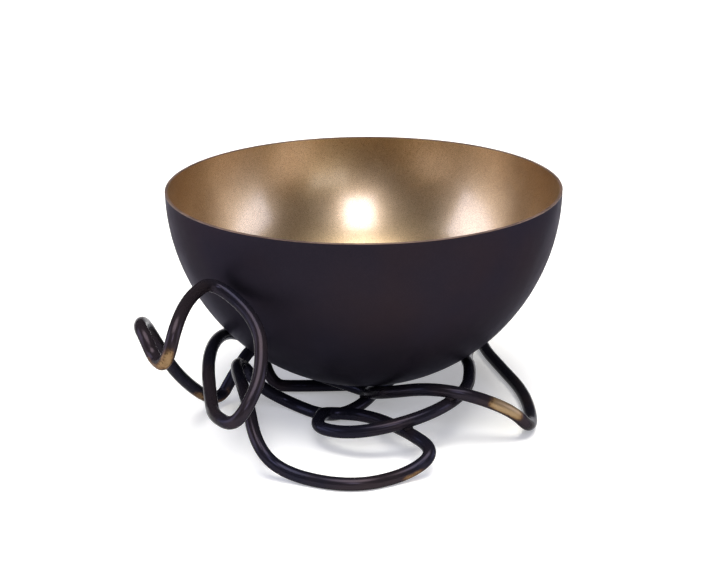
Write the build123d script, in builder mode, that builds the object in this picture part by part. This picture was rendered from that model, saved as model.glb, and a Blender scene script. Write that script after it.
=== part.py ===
"""A thin spun metal bowl that rests in a stand of bent and brazed round rod.

Millimetres, +Z up. The origin lies on the table, under the centre of the whole footprint. The stand's
corners are given from the bowl's own axis, and are drawn on the plane UNDER_BOWL.
"""
import math
import os

from build123d import *

# Bowl
BOWL_RADIUS = 150.0  # outside, at the rim
BOWL_DEPTH = 153.0  # outside, from the rim down to the lowest point
RIM_HEIGHT = 172.0  # above the table
SHELL = 1.8  # spun metal
LINING = 0.4  # gold layer
LIP_ROUND = 0.8
LIP = 1.4  # bare metal above the lining

# Stand
ROD = 9.5  # diameter
DRESSED = 0.3  # ground off where the rod lies on the table
TABLE = ROD / 2 - DRESSED  # height of the rod's centre line there
BEND = 0.45  # share of the shorter run that a bend takes up
BEAD = 3.4  # radius of a brazed bead

# The bowl's axis, placed so that the origin is in the middle of the footprint
AXIS = (5.7, 19.9)
UNDER_BOWL = Plane(origin=(*AXIS, 0))
RIM_PLANE = Plane(origin=(*AXIS, RIM_HEIGHT), x_dir=(1, 0, 0), z_dir=(0, -1, 0))
BOWL_AXIS = Axis((*AXIS, 0), (0, 0, 1))

# The corners of each length of rod, in the order in which it follows the one before. Each loop closes.
TALL_LOOP = {
    "left_hook": [
        (-153, -94, 85),
        (-157, -118, 106),
        (-156, -145, 112),
        (-151, -158, 109),
        (-144, -166, 95),
        (-134, -186, 98),
        (-127, -176, 126),
    ],
    "left_loop": [
        (-121, -132, 130),
        (-107, -105, 132),
        (-73, -134, 110),
        (-71, -167, 84),
        (-81, -186, 66),
        (-91, -185, 54),
        (-104, -165, 52),
        (-109, -140, 50),
        (-116, -81, 68),
    ],
    "left_sweep": [
        (-108, -2, 57),
        (-84, 25, 36),
        (-74, 12, TABLE),
        (-55, 9, TABLE),
        (17, 12, TABLE),
    ],
    "back_arc": [
        (20, 64, TABLE),
        (2, 112, TABLE),
        (34, 148, TABLE),
        (96, 141, TABLE),
        (100, 89, TABLE),
    ],
    "right_leg": [
        (110, 49, TABLE),
        (126, -13, TABLE),
        (125, -85, TABLE),
    ],
    "cradle_rod": [
        (105, -99, 30),
        (54, -105, 49),
        (8, -61, 26),
        (1, -19, 11),
        (-71, 13, 25),
    ],
    "left_foot": [
        (-86, 6, 43),
        (-102, -7, 22),
        (-115, -17, 0),
        (-140, -64, 42),
    ],
}
LOW_LOOP = {
    "front_leg": [
        (-98, -52, 46),
        (-86, -108, 45),
        (-77, -152, 22),
    ],
    "front_foot": [
        (-55, -159, TABLE),
        (-9, -179, TABLE),
        (30, -159, TABLE),
        (50, -150, 18),
    ],
    "small_loop": [
        (30, -118, 20),
        (3, -74, 14),
        (-27, -66, 13),
        (-34, -81, 18),
        (-36, -104, 16),
        (-4, -127, 22),
        (44, -120, 32),
    ],
    "right_riser": [
        (75, -84, 36),
        (80, -46, 41),
        (78, -9, 35),
        (86, 30, 34),
    ],
    "under_arc": [
        (46, 38, 16),
        (13, 9, TABLE),
        (-6, -39, TABLE),
        (-29, -54, TABLE),
    ],
    "left_riser": [
        (-58, -26, TABLE),
        (-82, -33, 22),
        (-94, -28, 39),
    ],
}

# Where the rods cross and are brazed, from the bowl's axis
BEADS = [
    (-1, -24, 9.3),
    (61.5, -101, 39.2),
    (15.5, 16.5, 5.6),
    (31, -121, 24.2),
]


def keep(piece, name):
    """Label a finished piece and write its file."""
    piece.part.label = name
    export_step(piece.part, f"parts/{name}.step")


def bend_radius(before, corner, after):
    """The radius of the arc that takes up BEND of the shorter of a corner's two runs."""
    turn = math.radians((corner - before).get_angle(after - corner))
    shorter_run = min((corner - before).length, (after - corner).length)
    return BEND * shorter_run / math.tan(turn / 2)


def bend_rod(name, last_corner, corners, next_corner):
    """Bend one length, from the middle of the run before its corners to the middle of the run after."""
    corners_from_bowl = (last_corner, *corners, next_corner)
    points = [UNDER_BOWL.from_local_coords(Vector(*corner)) for corner in corners_from_bowl]
    radii = [bend_radius(*points[i - 1 : i + 2]) for i in range(1, len(points) - 1)]
    start = (points[0] + points[1]) / 2
    end = (points[-2] + points[-1]) / 2
    with BuildPart() as length:
        with BuildLine() as route:
            FilletPolyline(start, *points[1:-1], end, radius=radii)
        with BuildSketch(Plane(origin=route.line @ 0, z_dir=route.line % 0)):
            Circle(ROD / 2)
        sweep(path=route.line)
        split(bisect_by=Plane.XY, keep=Keep.TOP)
    keep(length, name)
    print(f"{name:12} tightest bend {min(radii):5.1f}, length {route.wire().length:6.1f}")


def bend_loop(loop):
    """Bend every length of one closed loop."""
    names = list(loop)
    for index, name in enumerate(names):
        last_name = names[index - 1]
        next_name = names[(index + 1) % len(names)]
        bend_rod(name, loop[last_name][-1], loop[name], loop[next_name][0])


os.makedirs("parts", exist_ok=True)

with BuildPart() as bowl_shell:
    with BuildSketch(RIM_PLANE) as wall:
        with BuildLine():
            EllipticalCenterArc((0, 0), BOWL_RADIUS, BOWL_DEPTH, start_angle=270, arc_size=90)
            Line((BOWL_RADIUS, 0), (BOWL_RADIUS - SHELL, 0))
            EllipticalCenterArc((0, 0), BOWL_RADIUS - SHELL, BOWL_DEPTH - SHELL, start_angle=270, arc_size=90)
            Line((0, SHELL - BOWL_DEPTH), (0, -BOWL_DEPTH))
        make_face()
        fillet(wall.vertices().group_by(Axis.Z)[-1], LIP_ROUND)
    revolve(axis=BOWL_AXIS)
keep(bowl_shell, "bowl_shell")

with BuildPart() as gilt_lining:
    with BuildSketch(RIM_PLANE):
        with BuildLine():
            inset = SHELL + LINING
            EllipticalCenterArc((0, 0), BOWL_RADIUS - SHELL, BOWL_DEPTH - SHELL, start_angle=270, arc_size=90)
            Line((BOWL_RADIUS - SHELL, 0), (BOWL_RADIUS - inset, 0))
            EllipticalCenterArc((0, 0), BOWL_RADIUS - inset, BOWL_DEPTH - inset, start_angle=270, arc_size=90)
            Line((0, inset - BOWL_DEPTH), (0, SHELL - BOWL_DEPTH))
        make_face()
    revolve(axis=BOWL_AXIS)
    split(bisect_by=Plane.XY.offset(RIM_HEIGHT - LIP), keep=Keep.BOTTOM)
keep(gilt_lining, "gilt_lining")

bend_loop(TALL_LOOP)
bend_loop(LOW_LOOP)

with BuildPart(UNDER_BOWL) as braze_beads:
    with Locations(*BEADS):
        Sphere(BEAD)
keep(braze_beads, "braze_beads")
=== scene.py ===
"""Looks for a spun metal bowl in a stand of bent rod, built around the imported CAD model. Metres, +Z up."""
import math

import bmesh
import bpy
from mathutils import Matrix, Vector


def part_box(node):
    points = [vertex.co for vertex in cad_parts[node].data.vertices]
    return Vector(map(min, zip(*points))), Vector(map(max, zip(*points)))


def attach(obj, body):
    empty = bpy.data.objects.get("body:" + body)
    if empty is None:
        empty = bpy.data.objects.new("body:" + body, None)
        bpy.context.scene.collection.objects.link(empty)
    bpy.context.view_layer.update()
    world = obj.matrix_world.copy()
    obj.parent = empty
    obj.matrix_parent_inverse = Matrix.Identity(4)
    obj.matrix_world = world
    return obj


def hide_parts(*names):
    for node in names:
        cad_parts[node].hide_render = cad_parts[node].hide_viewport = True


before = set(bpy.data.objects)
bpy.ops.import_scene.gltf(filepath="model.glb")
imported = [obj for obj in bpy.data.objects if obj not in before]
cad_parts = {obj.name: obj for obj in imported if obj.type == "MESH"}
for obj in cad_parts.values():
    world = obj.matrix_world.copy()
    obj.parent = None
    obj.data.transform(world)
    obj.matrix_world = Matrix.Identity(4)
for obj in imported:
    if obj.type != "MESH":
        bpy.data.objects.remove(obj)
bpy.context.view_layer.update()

MM = 0.001
SCENE = bpy.context.scene

# What the frame gives
SHELL_LOW, SHELL_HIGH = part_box("bowl_shell")
AXIS = (SHELL_LOW + SHELL_HIGH) / 2
RADIUS = (SHELL_HIGH.x - SHELL_LOW.x) / 2
RIM = SHELL_HIGH.z
DEPTH = SHELL_HIGH.z - SHELL_LOW.z
UNDER_BOWL = Vector((AXIS.x, AXIS.y, 0))

# Wall, rod and braze
SHELL = 1.8 * MM
LINING = 0.4 * MM
LIP = 0.6 * MM  # height of the worn lip that caps them both
LIP_CROWN = 0.6 * LIP  # height of its rounded top
ROD = 9.5 * MM
TABLE = 4.45  # mm, the height of a rod's centre line where it lies on the table
BEAD = 3.3 * MM  # radius of a collar of braze

# Angles round the bowl's elliptical wall, down from the rim
WALL_TOP = math.asin(LIP / DEPTH)
WALL_BOTTOM = math.pi / 2

# How finely the shapes are made
ON_AXIS = 0.001 * MM  # a point nearer to the axis than this lies on it
TURNS = 288  # points round the bowl
WALL_STEPS = 72
LIP_STEPS = 12
ROD_ROUNDING = 10  # extra points in each half of a rod's section
ROD_STEPS = 20  # points along each run of a rod's route
BEAD_SUBDIVISIONS = 4
SHARP_FROM = math.radians(50)

# The corners of the rod's lengths, in millimetres from the bowl's axis at the table, as in the CAD model
TALL_LOOP = {
    "left_hook": [
        (-153, -94, 85),
        (-157, -118, 106),
        (-156, -145, 112),
        (-151, -158, 109),
        (-144, -166, 95),
        (-134, -186, 98),
        (-127, -176, 126),
    ],
    "left_loop": [
        (-121, -132, 130),
        (-107, -105, 132),
        (-73, -134, 110),
        (-71, -167, 84),
        (-81, -186, 66),
        (-91, -185, 54),
        (-104, -165, 52),
        (-109, -140, 50),
        (-116, -81, 68),
    ],
    "left_sweep": [
        (-108, -2, 57),
        (-84, 25, 36),
        (-74, 12, TABLE),
        (-55, 9, TABLE),
        (17, 12, TABLE),
    ],
    "back_arc": [
        (20, 64, TABLE),
        (2, 112, TABLE),
        (34, 148, TABLE),
        (96, 141, TABLE),
        (100, 89, TABLE),
    ],
    "right_leg": [
        (110, 49, TABLE),
        (126, -13, TABLE),
        (125, -85, TABLE),
    ],
    "cradle_rod": [
        (105, -99, 30),
        (54, -105, 49),
        (8, -61, 26),
        (1, -19, 11),
        (-71, 13, 25),
    ],
    "left_foot": [
        (-86, 6, 43),
        (-102, -7, 22),
        (-115, -17, 0),
        (-140, -64, 42),
    ],
}
LOW_LOOP = {
    "front_leg": [
        (-98, -52, 46),
        (-86, -108, 45),
        (-77, -152, 22),
    ],
    "front_foot": [
        (-55, -159, TABLE),
        (-9, -179, TABLE),
        (30, -159, TABLE),
        (50, -150, 18),
    ],
    "small_loop": [
        (30, -118, 20),
        (3, -74, 14),
        (-27, -66, 13),
        (-34, -81, 18),
        (-36, -104, 16),
        (-4, -127, 22),
        (44, -120, 32),
    ],
    "right_riser": [
        (75, -84, 36),
        (80, -46, 41),
        (78, -9, 35),
        (86, 30, 34),
    ],
    "under_arc": [
        (46, 38, 16),
        (13, 9, TABLE),
        (-6, -39, TABLE),
        (-29, -54, TABLE),
    ],
    "left_riser": [
        (-58, -26, TABLE),
        (-82, -33, 22),
        (-94, -28, 39),
    ],
}

# Where the rods cross and are brazed, in millimetres from the bowl's axis
BEADS = [
    (-1, -24, 9.3),
    (61.5, -101, 39.2),
    (15.5, 16.5, 5.6),
    (31, -121, 24.2),
]

# Where handling has rubbed the patina through: a stretch of rod, in millimetres from the bowl's axis, how far
# the rub reaches round it, how far it has gone, and the side of the rod that it is on
RUBS = [
    dict(start=(-143, -171, 93), end=(-133, -182, 103), reach=7, strength=0.9, side=(-0.2, -1.0, -0.45)),
    dict(start=(105.5, -96, 25), end=(97, -99, 31), reach=7, strength=1.3, side=(0.1, -0.80, 0.55)),
    dict(start=(29, -160, 6), end=(33, -158, 8), reach=6.5, strength=0.75, side=(0.5, -0.55, -0.9)),
    dict(start=(-128, -40, 21), end=(-112, -16, 9), reach=9, strength=0.75, side=(-0.1, -0.75, -0.65)),
    dict(start=(119, 14, 5), end=(121, 4, 5), reach=7, strength=0.4, side=(0.4, -0.4, 0.8)),
]
RUB_FADE = 2.5  # a rub has faded away at this many times its reach


def from_axis(point):
    """A point given in millimetres from the bowl's axis, in metres in the frame."""
    return UNDER_BOWL + Vector(point) * MM


# ---------------------------------------------------------------- shader helpers

# The sockets of a Mix node that mixes colours
MIX_FACTOR, MIX_FIRST, MIX_SECOND = 0, 6, 7
MIX_RESULT = 2


class Nodes:
    """A node tree under construction, with short ways to add and join nodes."""

    def __init__(self, tree, coordinates):
        self.tree = tree
        self.tree.nodes.clear()
        self.place = self.add("ShaderNodeTexCoord").outputs[coordinates]

    def add(self, kind, **settings):
        node = self.tree.nodes.new(kind)
        for key, value in settings.items():
            setattr(node, key, value)
        return node

    def join(self, source, target):
        self.tree.links.new(source, target)

    def put(self, value, socket):
        """Join a socket to a socket, or set a constant on it."""
        if isinstance(value, bpy.types.NodeSocket):
            self.join(value, socket)
        else:
            socket.default_value = value

    def math(self, operation, first, second, clamp=False):
        node = self.add("ShaderNodeMath", operation=operation, use_clamp=clamp)
        self.put(first, node.inputs[0])
        self.put(second, node.inputs[1])
        return node.outputs[0]

    def vector_math(self, operation, first, second=(0.0, 0.0, 0.0), output="Vector"):
        node = self.add("ShaderNodeVectorMath", operation=operation)
        self.put(first, node.inputs[0])
        self.put(second, node.inputs[1])
        return node.outputs[output]

    def noise(self, scale, detail=2.0, roughness=0.5):
        """Noise between 0 and 1, with about this many features to the metre."""
        node = self.add("ShaderNodeTexNoise")
        self.join(self.place, node.inputs["Vector"])
        node.inputs["Scale"].default_value = scale
        node.inputs["Detail"].default_value = detail
        node.inputs["Roughness"].default_value = roughness
        return node.outputs["Fac"]

    def band(self, value, span, onto=(0.0, 1.0)):
        """The value with its span stretched onto another one, smoothly, and no further."""
        node = self.add("ShaderNodeMapRange", interpolation_type="SMOOTHSTEP")
        self.put(value, node.inputs["Value"])
        node.inputs["From Min"].default_value, node.inputs["From Max"].default_value = span
        node.inputs["To Min"].default_value, node.inputs["To Max"].default_value = onto
        return node.outputs["Result"]

    def blend(self, factor, first, second):
        """The first colour where the factor is 0, turning to the second where it is 1."""
        node = self.add("ShaderNodeMix", data_type="RGBA")
        self.put(factor, node.inputs[MIX_FACTOR])
        self.put(first, node.inputs[MIX_FIRST])
        self.put(second, node.inputs[MIX_SECOND])
        return node.outputs[MIX_RESULT]

    def bump(self, height, distance, strength, over=None):
        """A bumped normal, on top of another one where that is given."""
        node = self.add("ShaderNodeBump")
        self.put(height, node.inputs["Height"])
        node.inputs["Distance"].default_value = distance
        node.inputs["Strength"].default_value = strength
        if over is not None:
            self.join(over, node.inputs["Normal"])
        return node.outputs["Normal"]


class Material(Nodes):
    """A material under construction."""

    def __init__(self, name):
        self.material = bpy.data.materials.new(name)
        self.material.use_nodes = True
        super().__init__(self.material.node_tree, "Object")

    def finish(self, color, roughness, metallic, normal, **constants):
        """The material, with one Principled shader. Each constant is named after its socket."""
        shader = self.add("ShaderNodeBsdfPrincipled")
        self.put(color, shader.inputs["Base Color"])
        self.put(roughness, shader.inputs["Roughness"])
        self.put(metallic, shader.inputs["Metallic"])
        self.join(normal, shader.inputs["Normal"])
        for key, value in constants.items():
            shader.inputs[key.replace("_", " ")].default_value = value
        self.join(shader.outputs[0], self.add("ShaderNodeOutputMaterial").inputs["Surface"])
        return self.material


def rgba(red, green, blue):
    """An opaque colour, from linear red, green and blue."""
    return (red, green, blue, 1.0)


# ---------------------------------------------------------------- materials

# Rods and braze
BLUE_BLACK = rgba(0.0130, 0.0126, 0.0200)
PATINA_BROWN = rgba(0.0245, 0.0185, 0.0215)
COPPER_BROWN = rgba(0.062, 0.036, 0.024)
RUBBED_OCHRE = rgba(0.185, 0.112, 0.050)
RUBBED_GOLD = rgba(0.245, 0.170, 0.096)
BRAZE_BLACK = rgba(0.0120, 0.0110, 0.0160)
BRAZE_BROWN = rgba(0.0230, 0.0165, 0.0170)
ROD_EDGE = rgba(0.24, 0.24, 0.30)  # dull, so that the patina stays dark even where it is seen edge on

# Outside of the bowl
AUBERGINE = rgba(0.0135, 0.0112, 0.0165)
WARM_AUBERGINE = rgba(0.0185, 0.0125, 0.0150)
PALE_SPECKS = rgba(0.034, 0.025, 0.031)
# Painted shade: the blue-black that the bowl's outside turns to towards its bottom
UNDERSIDE_PAINTED_SHADE = rgba(0.0085, 0.0080, 0.0130)
BOWL_EDGE = rgba(0.34, 0.33, 0.42)

# Lip and lining
LIP_BROWN = rgba(0.09, 0.058, 0.045)
LIP_WORN = rgba(0.17, 0.110, 0.080)
DEEP_GILT = rgba(0.64, 0.455, 0.250)
PALE_GILT = rgba(0.73, 0.535, 0.305)
GROUND_BROWN = rgba(0.25, 0.155, 0.070)

# Floor, room and lights
FLOOR_CREAM = rgba(0.905, 0.885, 0.810)
FLOOR_PALE_CREAM = rgba(0.915, 0.895, 0.820)
WHITE = rgba(1.0, 1.0, 1.0)
ROOM_GREY = rgba(0.095, 0.084, 0.084)
CEILING_WHITE = rgba(8.6, 8.6, 8.7)
BACKDROP_WHITE = rgba(0.93, 0.93, 0.93)
COOL_LIGHT = (0.87, 0.95, 1.30)
KEY_LIGHT = (0.93, 0.97, 1.24)
WHITE_LIGHT = (1.0, 1.0, 1.0)


def away_from_stretch(make, start, end):
    """How far a point is from the straight stretch between two places."""
    first = from_axis(start)
    along = from_axis(end) - first
    across = make.vector_math("SUBTRACT", make.place, tuple(first))
    travelled = make.vector_math("DOT_PRODUCT", across, tuple(along / along.length_squared), "Value")
    share = make.math("MULTIPLY", travelled, 1.0, clamp=True)
    nearest = make.add("ShaderNodeVectorMath", operation="SCALE")
    nearest.inputs[0].default_value = along
    make.join(share, nearest.inputs["Scale"])
    return make.vector_math("DISTANCE", across, nearest.outputs[0], "Value")


def one_rub(make, start, end, reach, strength, side):
    """How far one place is rubbed: most at its stretch, on its own side of the rod."""
    near = make.band(away_from_stretch(make, start, end), (RUB_FADE * reach * MM, 0.0))
    normal = make.add("ShaderNodeNewGeometry").outputs["Normal"]
    facing = make.vector_math("DOT_PRODUCT", normal, tuple(Vector(side).normalized()), "Value")
    turned = make.band(facing, (-0.05, 0.9))
    return make.math("MULTIPLY", make.math("MULTIPLY", near, turned), strength)


def rubbed_mask(make):
    """How far the patina is rubbed through, from 0 to 1, with a ragged edge that stays inside the rubs."""
    total = 0.0
    for rub in RUBS:
        total = make.math("ADD", total, one_rub(make, **rub))
    breakup = make.math("SUBTRACT", make.noise(230, detail=5.0, roughness=0.65), 0.5)
    uneven = make.math("ADD", total, make.math("MULTIPLY", breakup, 0.6))
    return make.math("MULTIPLY", make.band(uneven, (0.08, 1.15)), make.band(total, (0.0, 0.5)))


def rod_material():
    """Dark bronze patina, blue-black to brown, rubbed through to gold where hands and table reach it."""
    make = Material("rod_patina")
    from_bowl = make.vector_math("SUBTRACT", make.place, tuple(UNDER_BOWL))
    level = make.vector_math("MULTIPLY", from_bowl, (1, 1, 0))
    outward = make.vector_math("LENGTH", level, output="Value")
    handled = make.band(outward, (120 * MM, 185 * MM), (-0.08, 0.10))  # browner where hands reach
    cloud = make.math("ADD", make.noise(13, detail=3.0, roughness=0.6), handled)
    mottle = make.noise(600, detail=4.0, roughness=0.65)
    patina = make.blend(make.band(cloud, (0.42, 0.66)), BLUE_BLACK, PATINA_BROWN)
    patina = make.blend(make.band(mottle, (0.50, 0.85), (0.0, 0.15)), patina, COPPER_BROWN)
    rubbed = rubbed_mask(make)
    color = make.blend(make.band(rubbed, (0.0, 0.4)), patina, COPPER_BROWN)
    color = make.blend(make.band(rubbed, (0.1, 0.8)), color, RUBBED_OCHRE)
    color = make.blend(make.band(rubbed, (0.4, 1.0)), color, RUBBED_GOLD)
    satin = make.band(mottle, (0.3, 0.7), (0.18, 0.25))
    roughness = make.math("ADD", satin, make.math("MULTIPLY", rubbed, 0.14))
    metallic = make.band(rubbed, (0.0, 1.0), (0.5, 0.65))
    drawn = make.bump(make.noise(38), distance=0.35 * MM, strength=0.2)
    grain = make.bump(mottle, distance=0.035 * MM, strength=0.4, over=drawn)
    return make.finish(color, roughness, metallic, grain, Specular_IOR_Level=0.06, Specular_Tint=ROD_EDGE)


def braze_material():
    """Braze, darkened with the rest, a little rougher and browner than the rod."""
    make = Material("braze")
    lumps = make.noise(500, detail=4.0, roughness=0.7)
    color = make.blend(make.band(lumps, (0.3, 0.75)), BRAZE_BLACK, BRAZE_BROWN)
    roughness = make.band(lumps, (0.3, 0.7), (0.36, 0.5))
    grain = make.bump(lumps, distance=0.25 * MM, strength=0.6)
    return make.finish(color, roughness, 0.5, grain, Specular_IOR_Level=0.06, Specular_Tint=ROD_EDGE)


def bowl_material():
    """The outside of the bowl: a dark aubergine-bronze satin, faintly clouded, with the finest grain, and
    painted shade that darkens it to blue-black towards the bottom.
    """
    make = Material("bowl_patina")
    cloud = make.band(make.noise(7, detail=3.0, roughness=0.6), (0.35, 0.65))
    speck = make.noise(1500, roughness=0.6)
    height = make.add("ShaderNodeSeparateXYZ")
    make.join(make.place, height.inputs[0])
    color = make.blend(cloud, AUBERGINE, WARM_AUBERGINE)
    color = make.blend(make.band(speck, (0.4, 0.8), (0.0, 0.25)), color, PALE_SPECKS)
    # Painted shade: the colour darkens towards the bottom of the bowl, standing in for the floor's shadow
    # below it
    rise = make.band(height.outputs["Z"], (20 * MM, 150 * MM))
    color = make.blend(rise, UNDERSIDE_PAINTED_SHADE, color)
    roughness = make.band(make.noise(30, detail=3.0, roughness=0.6), (0.3, 0.7), (0.42, 0.50))
    spun = make.bump(make.noise(9, detail=1.0), distance=1.2 * MM, strength=0.10)
    grain = make.bump(speck, distance=0.04 * MM, strength=0.4, over=spun)
    return make.finish(color, roughness, 0.55, grain, Specular_IOR_Level=0.03, Specular_Tint=BOWL_EDGE)


def lining_material():
    """The inside of the bowl: gold laid over a fine powdery ground, satin, with soft unevenness."""
    make = Material("gilt")
    powder = make.noise(1900, roughness=0.7)
    cloud = make.band(make.noise(16, detail=3.0, roughness=0.6), (0.35, 0.65))
    color = make.blend(cloud, DEEP_GILT, PALE_GILT)
    color = make.blend(make.band(powder, (0.40, 0.70), (0.0, 0.8)), color, GROUND_BROWN)
    roughness = make.band(powder, (0.3, 0.7), (0.27, 0.34))
    spun = make.bump(make.noise(11), distance=2.2 * MM, strength=0.14)
    grain = make.bump(powder, distance=0.04 * MM, strength=0.8, over=spun)
    return make.finish(color, roughness, 1.0, grain, Coat_Weight=0.7, Coat_Roughness=0.16, Coat_IOR=1.8)


def lip_material():
    """The worn edge between outside and lining."""
    make = Material("lip_bronze")
    worn = make.noise(60, detail=4.0, roughness=0.7)
    color = make.blend(make.band(worn, (0.3, 0.7)), LIP_BROWN, LIP_WORN)
    roughness = make.band(worn, (0.3, 0.7), (0.36, 0.48))
    grain = make.bump(make.noise(900), distance=0.04 * MM, strength=0.4)
    return make.finish(color, roughness, 0.2, grain, Specular_IOR_Level=0.2)


def floor_material():
    """Matt and pale, and bright enough of itself to stay white under soft light."""
    make = Material("pale_floor")
    color = make.blend(make.band(make.noise(3), (0.3, 0.7)), FLOOR_CREAM, FLOOR_PALE_CREAM)
    grain = make.bump(make.noise(300), distance=0.02 * MM, strength=0.1)
    glow = dict(Emission_Color=WHITE, Emission_Strength=0.28)
    return make.finish(color, 0.9, 0.0, grain, Specular_IOR_Level=0.0, **glow)


# ---------------------------------------------------------------- shapes


def add_mesh(name, mesh, material):
    """An object with this mesh and material, shaded smooth up to its sharp edges."""
    piece = bpy.data.objects.new(name, mesh)
    SCENE.collection.objects.link(piece)
    mesh.materials.clear()
    mesh.materials.append(material)
    for polygon in mesh.polygons:
        polygon.use_smooth = True
    mesh.set_sharp_from_angle(angle=SHARP_FROM)
    return piece


def ring_of(shape, radius, height):
    """The vertices that one point of a profile makes round the bowl's axis, or a single one on the axis."""
    if radius < ON_AXIS:
        return [shape.verts.new((AXIS.x, AXIS.y, height))]
    ring = []
    for step in range(TURNS):
        angle = 2 * math.pi * step / TURNS
        x = AXIS.x + radius * math.cos(angle)
        y = AXIS.y + radius * math.sin(angle)
        ring.append(shape.verts.new((x, y, height)))
    return ring


def lathe(name, profile, material):
    """A closed profile of (radius, height) points turned round the bowl's axis."""
    mesh = bpy.data.meshes.new(name)
    shape = bmesh.new()
    rings = [ring_of(shape, radius, height) for radius, height in profile]
    for ring, following in zip(rings, rings[1:] + rings[:1]):
        if len(ring) == 1 and len(following) == 1:
            continue
        for step in range(TURNS):
            after = (step + 1) % TURNS
            if len(ring) == 1:
                corners = (ring[0], following[after], following[step])
            elif len(following) == 1:
                corners = (ring[step], ring[after], following[0])
            else:
                corners = (ring[step], ring[after], following[after], following[step])
            shape.faces.new(corners)
    bmesh.ops.recalc_face_normals(shape, faces=shape.faces)
    shape.to_mesh(mesh)
    shape.free()
    return add_mesh(name, mesh, material)


def wall_arc(inset, start, end):
    """Points along the bowl's elliptical wall, inset from the outside, from one angle to another."""
    points = []
    for step in range(WALL_STEPS + 1):
        angle = start + (end - start) * step / WALL_STEPS
        radius = (RADIUS - inset) * math.cos(angle)
        points.append((max(radius, 0.0), RIM - (DEPTH - inset) * math.sin(angle)))
    return points


def wall_profile(outer, inner):
    """One layer of the wall, between two insets: up its outer face and down its inner one."""
    return wall_arc(outer, WALL_BOTTOM, WALL_TOP) + wall_arc(inner, WALL_TOP, WALL_BOTTOM)


def lip_profile():
    """The lip: it stands on the wall and the lining, and is rounded over the top as half an ellipse."""
    half = (SHELL + LINING) / 2
    middle = RADIUS - half
    points = [
        ((RADIUS - SHELL - LINING) * math.cos(WALL_TOP), RIM - LIP),
        (RADIUS * math.cos(WALL_TOP), RIM - LIP),
    ]
    for step in range(LIP_STEPS + 1):
        angle = math.pi * step / LIP_STEPS
        points.append((middle + half * math.cos(angle), RIM - LIP_CROWN * (1 - math.sin(angle))))
    return points


def build_bowl():
    """Outside, lip and lining, each its own piece."""
    shell = lathe("bowl_outside", wall_profile(0, SHELL), bowl_material())
    lip = lathe("bowl_lip", lip_profile(), lip_material())
    lining = lathe("bowl_lining", wall_profile(SHELL, SHELL + LINING), lining_material())
    for piece in (shell, lip, lining):
        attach(piece, "bowl")
    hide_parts("bowl_shell")
    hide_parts("gilt_lining")


def rod_mesh(name, route):
    """A round rod along one smooth curve, dressed flat where it reaches the table."""
    curve = bpy.data.curves.new(name, "CURVE")
    curve.dimensions = "3D"
    curve.bevel_depth = ROD / 2
    curve.bevel_resolution = ROD_ROUNDING
    curve.use_fill_caps = True
    curve.resolution_u = ROD_STEPS
    spline = curve.splines.new("NURBS")
    spline.points.add(len(route) - 1)
    for point, place in zip(spline.points, route):
        point.co = (*place, 1.0)
    spline.order_u = 3
    spline.use_endpoint_u = True
    carrier = bpy.data.objects.new(name + "_route", curve)
    SCENE.collection.objects.link(carrier)
    bpy.context.view_layer.update()
    evaluated = carrier.evaluated_get(bpy.context.evaluated_depsgraph_get())
    mesh = bpy.data.meshes.new_from_object(evaluated)
    mesh.name = name
    bpy.data.objects.remove(carrier)
    bpy.data.curves.remove(curve)
    for vertex in mesh.vertices:
        vertex.co.z = max(vertex.co.z, 0.0)
    return mesh


def build_rods(loop, material):
    """One piece for each length, from the middle of the run before its corners to the middle of the next."""
    names = list(loop)
    for index, name in enumerate(names):
        last_corner = from_axis(loop[names[index - 1]][-1])
        next_corner = from_axis(loop[names[(index + 1) % len(names)]][0])
        corners = [from_axis(corner) for corner in loop[name]]
        start = (last_corner + corners[0]) / 2
        end = (corners[-1] + next_corner) / 2
        piece = add_mesh(name + "_rod", rod_mesh(name, [start, *corners, end]), material)
        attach(piece, "stand")
        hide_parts(name)


def build_beads():
    """Small uneven collars of braze where the rods cross."""
    unevenness = 0.03  # of the radius
    wave_x, wave_y, wave_z = 2.1, 1.7, 1.9  # radians per millimetre
    mesh = bpy.data.meshes.new("beads")
    shape = bmesh.new()
    for index, place in enumerate(BEADS):
        made = bmesh.ops.create_icosphere(shape, subdivisions=BEAD_SUBDIVISIONS, radius=BEAD)
        centre = from_axis(place)
        for vertex in made["verts"]:
            x, y, z = vertex.co / MM
            lump = math.sin(wave_x * x + index) * math.sin(wave_y * y + 2 * index) * math.sin(wave_z * z)
            vertex.co = centre + vertex.co * (1 + unevenness * lump)
    shape.to_mesh(mesh)
    shape.free()
    piece = add_mesh("braze_collars", mesh, braze_material())
    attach(piece, "stand")
    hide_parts("braze_beads")


# ---------------------------------------------------------------- stage, light and camera


def build_floor():
    """A wide level floor, a hair below the rods so that it never shares a plane with their flats."""
    reach = 9.0
    mesh = bpy.data.meshes.new("floor")
    corners = [(-reach, -reach, 0), (reach, -reach, 0), (reach, reach, 0), (-reach, reach, 0)]
    mesh.from_pydata(corners, [], [(0, 1, 2, 3)])
    floor = add_mesh("floor", mesh, floor_material())
    floor.location.z = -0.2 * MM


def build_world():
    """A dim room under a bright ceiling that leans a little forward. The camera sees plain white instead."""
    ceiling_side = (0.0, -0.20, 0.980)
    world = bpy.data.worlds.new("studio")
    world.use_nodes = True
    make = Nodes(world.node_tree, "Generated")
    upward = make.vector_math("DOT_PRODUCT", make.place, ceiling_side, "Value")
    room = make.blend(make.band(upward, (0.86, 0.97)), ROOM_GREY, CEILING_WHITE)
    from_camera = make.add("ShaderNodeLightPath").outputs["Is Camera Ray"]
    background = make.add("ShaderNodeBackground")
    make.join(make.blend(from_camera, room, BACKDROP_WHITE), background.inputs["Color"])
    make.join(background.outputs[0], make.add("ShaderNodeOutputWorld").inputs["Surface"])
    SCENE.world = world


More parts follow.
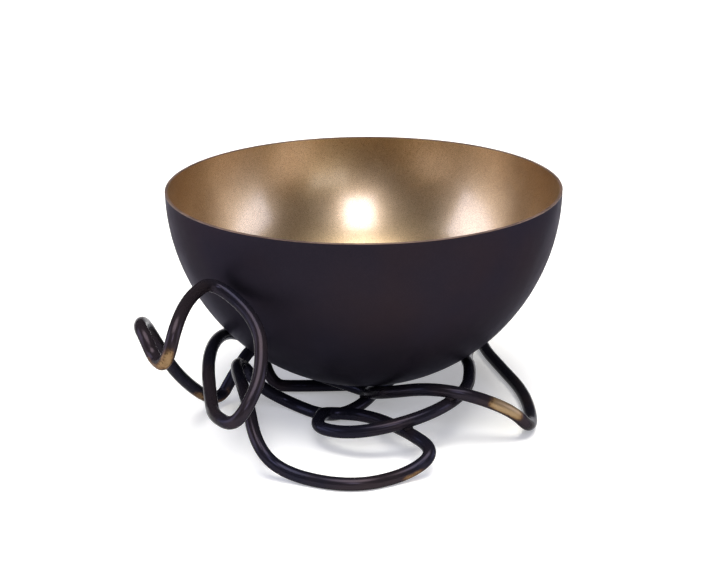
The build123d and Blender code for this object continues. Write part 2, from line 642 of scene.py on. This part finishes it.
def studio_light(name, turn, rise, away, size, radiance, color):
    """A rectangular light that faces the middle of the rim.

    It stands away metres from there, turn degrees clockwise from straight behind, as seen from above, and
    rise degrees above the rim.
    """
    turn = math.radians(turn)
    rise = math.radians(rise)
    centre = Vector((AXIS.x, AXIS.y, RIM))
    outward = Vector((math.sin(turn) * math.cos(rise), math.cos(turn) * math.cos(rise), math.sin(rise)))
    data = bpy.data.lights.new(name, "AREA")
    data.shape = "RECTANGLE"
    width, height = size
    data.size = width
    data.size_y = height
    data.energy = radiance * math.pi * width * height
    data.color = color
    light = bpy.data.objects.new(name, data)
    SCENE.collection.objects.link(light)
    light.location = centre + away * outward
    light.rotation_euler = (-outward).to_track_quat("-Z", "Y").to_euler()


def build_light():
    """A square key above the camera, a faint low light to its right, and a large soft box on each side."""
    build_world()
    studio_light("front_key", 177, 31.5, away=2.2, size=(0.72, 0.72), radiance=6.6, color=KEY_LIGHT)
    studio_light("front_low", 158, 7, away=2.4, size=(1.0, 0.6), radiance=1.7, color=WHITE_LIGHT)
    studio_light("left_box", -91, 12, away=2.0, size=(1.50, 1.60), radiance=3.35, color=COOL_LIGHT)
    studio_light("right_box", 88, 12, away=2.0, size=(1.65, 0.95), radiance=2.75, color=COOL_LIGHT)


def build_camera():
    """A long lens, 19 degrees above level, framing as much white as the object needs around it."""
    distance = 9.085 * RADIUS
    down = 0.33022  # radians, from level to the line of sight
    roll = 0.00734  # radians, with the camera's right side lower
    aside = 0.0181 * RADIUS  # from the line of sight to the rim's centre, to the right
    above = 0.5373 * RADIUS  # and upwards
    level = Vector((1, 0, 0))
    upright = Vector((0, math.sin(down), math.cos(down)))
    ahead = Vector((0, math.cos(down), -math.sin(down)))
    right = math.cos(roll) * level - math.sin(roll) * upright
    up = math.sin(roll) * level + math.cos(roll) * upright
    rim_centre = Vector((AXIS.x, AXIS.y, RIM))
    place = rim_centre - aside * right - above * up - distance * ahead
    data = bpy.data.cameras.new("camera")
    data.lens = 90
    data.sensor_width = 36
    data.clip_start = 0.01
    data.clip_end = 60
    camera = bpy.data.objects.new("camera", data)
    SCENE.collection.objects.link(camera)
    # Column by column
    camera.matrix_world = (
        (right.x, right.y, right.z, 0),
        (up.x, up.y, up.z, 0),
        (-ahead.x, -ahead.y, -ahead.z, 0),
        (place.x, place.y, place.z, 1),
    )
    SCENE.camera = camera


build_camera()
build_bowl()
patina = rod_material()
build_rods(TALL_LOOP, patina)
build_rods(LOW_LOOP, patina)
build_beads()
build_floor()
build_light()
SCENE.view_settings.view_transform = "Standard"
